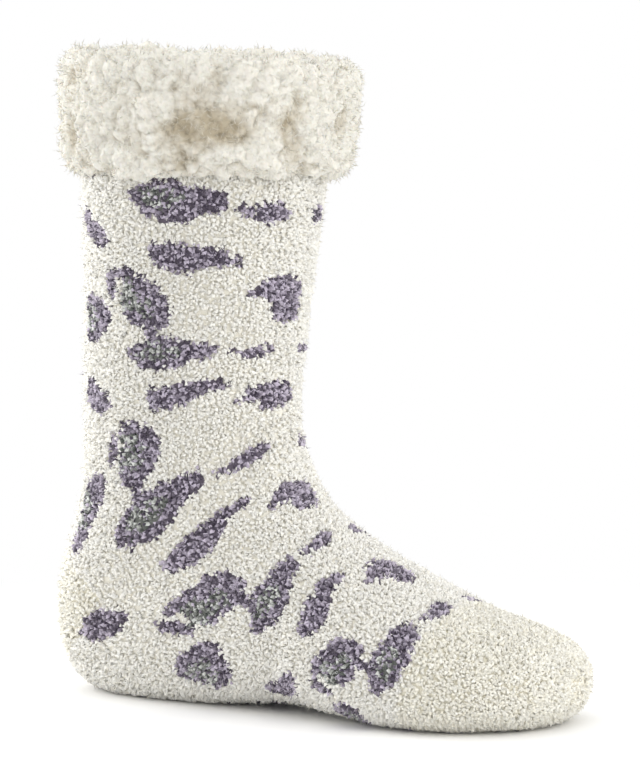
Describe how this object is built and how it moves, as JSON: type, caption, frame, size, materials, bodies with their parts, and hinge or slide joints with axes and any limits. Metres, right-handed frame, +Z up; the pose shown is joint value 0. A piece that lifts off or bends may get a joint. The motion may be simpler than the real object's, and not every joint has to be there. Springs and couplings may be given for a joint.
{
  "type": "slipper sock",
  "caption": "Mid-calf slipper sock of fuzzy spotted knit, shaped to the foot, with a turned-down cuff of curly fleece and an open collar.",
  "frame": {"origin": "on the floor, halfway along the length of the foot", "axes": "+X towards the toes, +Y towards the wearer's left when worn, +Z up"},
  "size_m": [0.2521, 0.1345, 0.2908],
  "materials": {
    "chunky_knit": "fuzzy cream feather yarn with purple and grey animal spots, plain ivory heel and toe",
    "curly_fleece": "ivory sherpa fleece with curly clumps"
  },
  "bodies": {
    "root": {"knit_body": "chunky_knit", "sherpa_cuff": "curly_fleece"}
  },
  "joints": []
}
